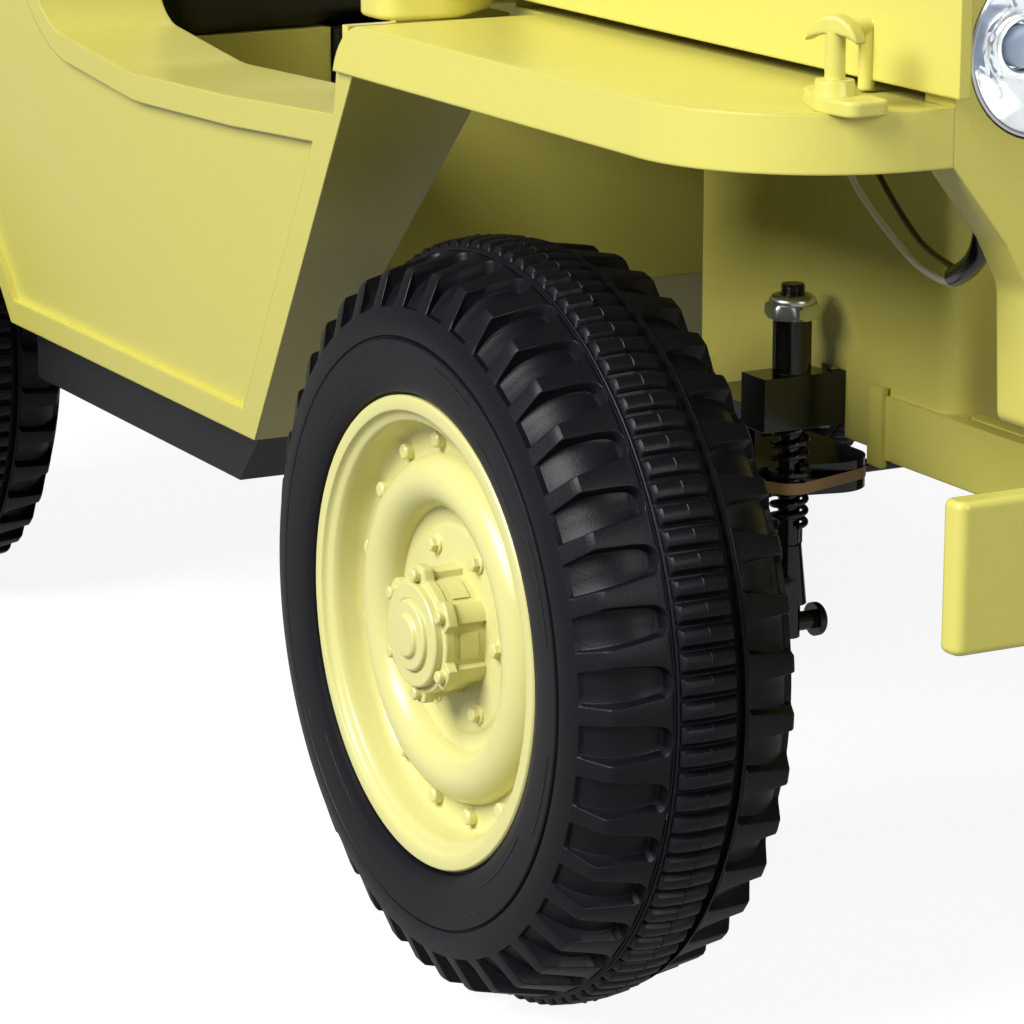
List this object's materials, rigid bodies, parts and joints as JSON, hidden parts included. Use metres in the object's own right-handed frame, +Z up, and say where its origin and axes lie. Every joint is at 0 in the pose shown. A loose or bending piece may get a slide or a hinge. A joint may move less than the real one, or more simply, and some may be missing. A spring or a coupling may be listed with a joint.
{
  "type": "ride-on toy army 4x4 car",
  "caption": "Child's ride-on toy of an open army 4x4 utility car, with steered front wheels, an opening hood, windscreen, two seats, spare wheel and fuel can.",
  "frame": {"origin": "centre of the bounding box on the ground plane, under the car", "axes": "+X forward, +Y to the driver's left, +Z up"},
  "size_m": [1.156, 0.6, 0.588],
  "materials": {
    "body_green": "satin moulded olive green",
    "wheel_green": "satin moulded light olive",
    "tyre_rubber": "matt",
    "black_plastic": "matt moulded",
    "black_gloss": "gloss",
    "dark_steel": "satin black paint",
    "zinc_steel": "zinc plated",
    "reflector": "polished",
    "clear": "clear",
    "seat_black": "soft black covering",
    "wire_white": "satin sleeve",
    "wire_black": "gloss sleeve",
    "lamp_red": "clear red"
  },
  "bodies": {
    "root": {"lamp_wire_white_right": "wire_white", "lamp_wire_black_right": "wire_black", "lamp_lead_right": "wire_black", "lamp_wire_white_left": "wire_white", "lamp_wire_black_left": "wire_black", "lamp_lead_left": "wire_black", "front_frame": "dark_steel", "spring_plates": "dark_steel", "front_springs": "zinc_steel", "rear_axle": "zinc_steel", "gearboxes": "black_plastic", "rear_frame": "black_plastic", "floor_tray": "black_plastic", "tub": "body_green", "cowl": "body_green", "front_fenders": "body_green", "engine_bay": "body_green", "battery": "black_plastic", "grille_panel": "body_green", "hood_latches": "body_green", "headlamp_bowls": "reflector", "headlamp_lenses": "clear", "front_bumper": "body_green", "windscreen_frame": "body_green", "windscreen_glass": "clear", "dashboard": "body_green", "steering_column": "black_plastic", "seat_cushions": "seat_black", "seat_backs": "seat_black", "console": "black_plastic", "spare_bracket": "dark_steel", "spare_tyre": "tyre_rubber", "spare_rim": "wheel_green", "can_rack": "body_green", "fuel_can": "body_green", "tail_lamps": "lamp_red", "rear_bumperettes": "body_green"},
    "knuckle_right": {"knuckle_right": "dark_steel", "pivot_nut_right": "zinc_steel"},
    "knuckle_left": {"knuckle_left": "dark_steel", "pivot_nut_left": "zinc_steel"},
    "tie_rod": {"tie_rod": "dark_steel"},
    "steering_wheel": {"steering_wheel": "black_plastic"},
    "hood": {"hood": "body_green"},
    "wheel_front_right": {"tyre_front_right": "tyre_rubber", "rim_front_right": "wheel_green", "hub_cap_front_right": "wheel_green"},
    "wheel_front_left": {"tyre_front_left": "tyre_rubber", "rim_front_left": "wheel_green", "hub_cap_front_left": "wheel_green"},
    "wheel_rear_right": {"tyre_rear_right": "tyre_rubber", "rim_rear_right": "wheel_green", "hub_cap_rear_right": "wheel_green"},
    "wheel_rear_left": {"tyre_rear_left": "tyre_rubber", "rim_rear_left": "wheel_green", "hub_cap_rear_left": "wheel_green"}
  },
  "joints": [
    {"name": "spin_front_right", "type": "hinge", "parent": "knuckle_right", "child": "wheel_front_right", "pos_m": [0.328, -0.25, 0.135], "axis": [0, 1, 0], "continuous": true},
    {"name": "spin_front_left", "type": "hinge", "parent": "knuckle_left", "child": "wheel_front_left", "pos_m": [0.328, 0.25, 0.135], "axis": [0, 1, 0], "continuous": true},
    {"name": "spin_rear_right", "type": "hinge", "parent": "root", "child": "wheel_rear_right", "pos_m": [-0.312, -0.25, 0.135], "axis": [0, 1, 0], "continuous": true},
    {"name": "spin_rear_left", "type": "hinge", "parent": "root", "child": "wheel_rear_left", "pos_m": [-0.312, 0.25, 0.135], "axis": [0, 1, 0], "continuous": true},
    {"name": "steer_right", "type": "hinge", "parent": "root", "child": "knuckle_right", "pos_m": [0.328, -0.138, 0.2], "axis": [0, 0, 1], "range_deg": [-16, 16]},
    {"name": "steer_left", "type": "hinge", "parent": "root", "child": "knuckle_left", "pos_m": [0.328, 0.138, 0.2], "axis": [0, 0, 1], "range_deg": [-16, 16]},
    {"name": "link_turn", "type": "hinge", "parent": "knuckle_right", "child": "tie_rod", "pos_m": [0.273, -0.138, 0.158], "axis": [0, 0, 1], "range_deg": [-16, 16]},
    {"name": "helm", "type": "hinge", "parent": "root", "child": "steering_wheel", "pos_m": [0.069, 0.1, 0.401], "axis": [-0.9167, 0, 0.3996], "range_deg": [-32, 32]},
    {"name": "hood_open", "type": "hinge", "parent": "root", "child": "hood", "pos_m": [0.2605, 0, 0.421], "axis": [0, -1, 0], "range_deg": [0, 60]}
  ],
  "couplings": [
    {"joint": "steer_left", "follows": "steer_right", "ratio": 1},
    {"joint": "link_turn", "follows": "steer_right", "ratio": -1},
    {"joint": "helm", "follows": "steer_right", "ratio": 2}
  ]
}
